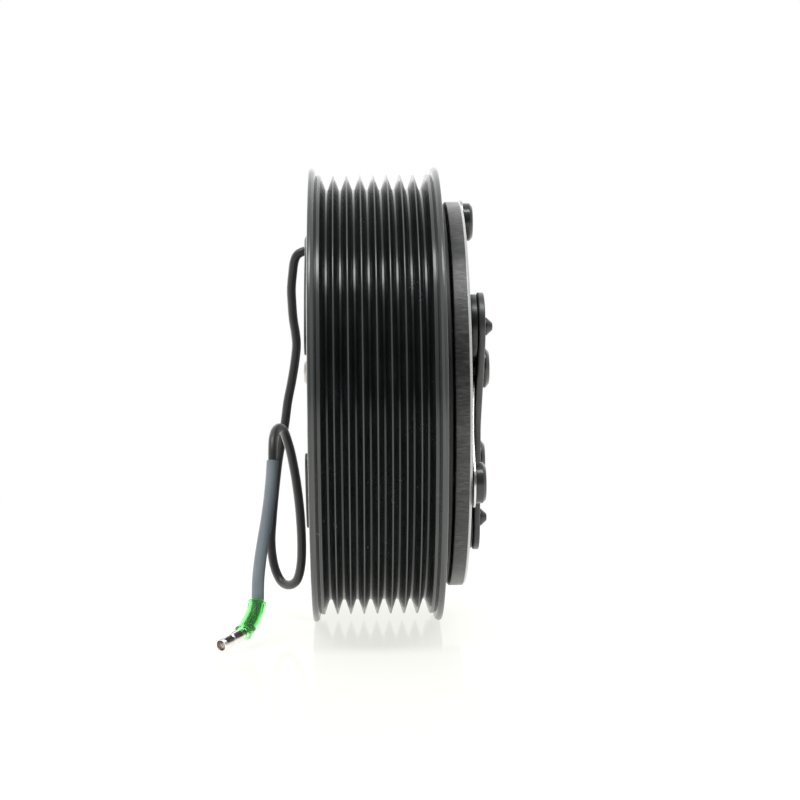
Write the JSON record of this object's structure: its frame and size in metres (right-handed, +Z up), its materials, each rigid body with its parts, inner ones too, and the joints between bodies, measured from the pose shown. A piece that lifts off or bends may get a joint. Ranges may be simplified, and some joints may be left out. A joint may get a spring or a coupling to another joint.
{
  "type": "electromagnetic clutch",
  "caption": "Ribbed-belt pulley clutch with a slotted friction disc, field coil, sealed ball bearing and an armature plate on leaf springs, with a short lead to a bullet terminal.",
  "frame": {"origin": "on the shaft's axis, in the rear face of the coil's mounting plate, which seats on the compressor", "axes": "+X along the shaft from the compressor to the armature, +Z up as the clutch stands in use, with the lead leaving at the top rear; +Y completes the right hand"},
  "size_m": [0.071, 0.123, 0.123],
  "materials": {
    "black_paint": "semi-gloss black enamel",
    "dark_steel": "dark phosphated steel, satin",
    "bare_steel": "ground bearing steel",
    "spring_steel": "bright rolled spring steel",
    "copper_winding": "enamelled copper wire",
    "black_resin": "cast black resin",
    "black_rubber": "matte black rubber",
    "cage_nylon": "natural glass-filled nylon",
    "grey_sleeve": "blue-grey PVC sleeving",
    "green_pvc": "translucent green soft PVC",
    "tinned_brass": "bright tin plate on brass"
  },
  "bodies": {
    "stator": {"coil_mounting_plate": "dark_steel", "plate_rivet_1": "bare_steel", "plate_rivet_2": "bare_steel", "plate_rivet_3": "bare_steel", "locating_tab": "dark_steel", "lead_cover": "black_resin", "coil_housing": "dark_steel", "coil_bobbin": "cage_nylon", "coil_winding": "copper_winding", "coil_potting_ring": "black_resin", "bearing_inner_race": "bare_steel", "lead_grommet": "black_rubber", "lead_wire": "black_rubber", "lead_sleeve": "grey_sleeve", "terminal_insulator": "green_pvc", "bullet_terminal": "tinned_brass"},
    "pulley": {"pulley_rim": "black_paint", "rotor_body": "dark_steel", "bearing_outer_race": "bare_steel", "bearing_seal_front": "black_rubber", "bearing_seal_rear": "black_rubber", "bearing_retaining_ring": "spring_steel"},
    "ball_set": {"bearing_cage": "cage_nylon", "bearing_ball_1": "bare_steel", "bearing_ball_2": "bare_steel", "bearing_ball_3": "bare_steel", "bearing_ball_4": "bare_steel", "bearing_ball_5": "bare_steel", "bearing_ball_6": "bare_steel", "bearing_ball_7": "bare_steel", "bearing_ball_8": "bare_steel", "bearing_ball_9": "bare_steel", "bearing_ball_10": "bare_steel", "bearing_ball_11": "bare_steel", "bearing_ball_12": "bare_steel"},
    "hub_assembly": {"hub": "dark_steel", "hub_plate": "black_paint", "hub_rivet_1": "dark_steel", "hub_rivet_2": "dark_steel", "hub_rivet_3": "dark_steel", "stop_bumper_1": "black_rubber", "stop_bumper_2": "black_rubber", "stop_bumper_3": "black_rubber", "hub_shim": "spring_steel"},
    "armature": {"armature_plate": "dark_steel", "leaf_spring_1": "spring_steel", "leaf_spring_2": "spring_steel", "leaf_spring_3": "spring_steel", "armature_rivet_1": "dark_steel", "armature_rivet_2": "dark_steel", "armature_rivet_3": "dark_steel"}
  },
  "joints": [
    {"name": "pulley_spin", "type": "hinge", "parent": "stator", "child": "pulley", "pos_m": [0, 0, 0], "axis": [1, 0, 0], "continuous": true},
    {"name": "cage_spin", "type": "hinge", "parent": "stator", "child": "ball_set", "pos_m": [0, 0, 0], "axis": [1, 0, 0], "continuous": true},
    {"name": "hub_spin", "type": "hinge", "parent": "stator", "child": "hub_assembly", "pos_m": [0, 0, 0], "axis": [1, 0, 0], "continuous": true},
    {"name": "armature_pull", "type": "slide", "parent": "hub_assembly", "child": "armature", "axis": [-1, 0, 0], "range_m": [0, 0.00045], "stiffness_N_per_m": 4000, "springref_m": -0.001}
  ],
  "couplings": [
    {"joint": "cage_spin", "follows": "pulley_spin", "ratio": 0.5711}
  ]
}
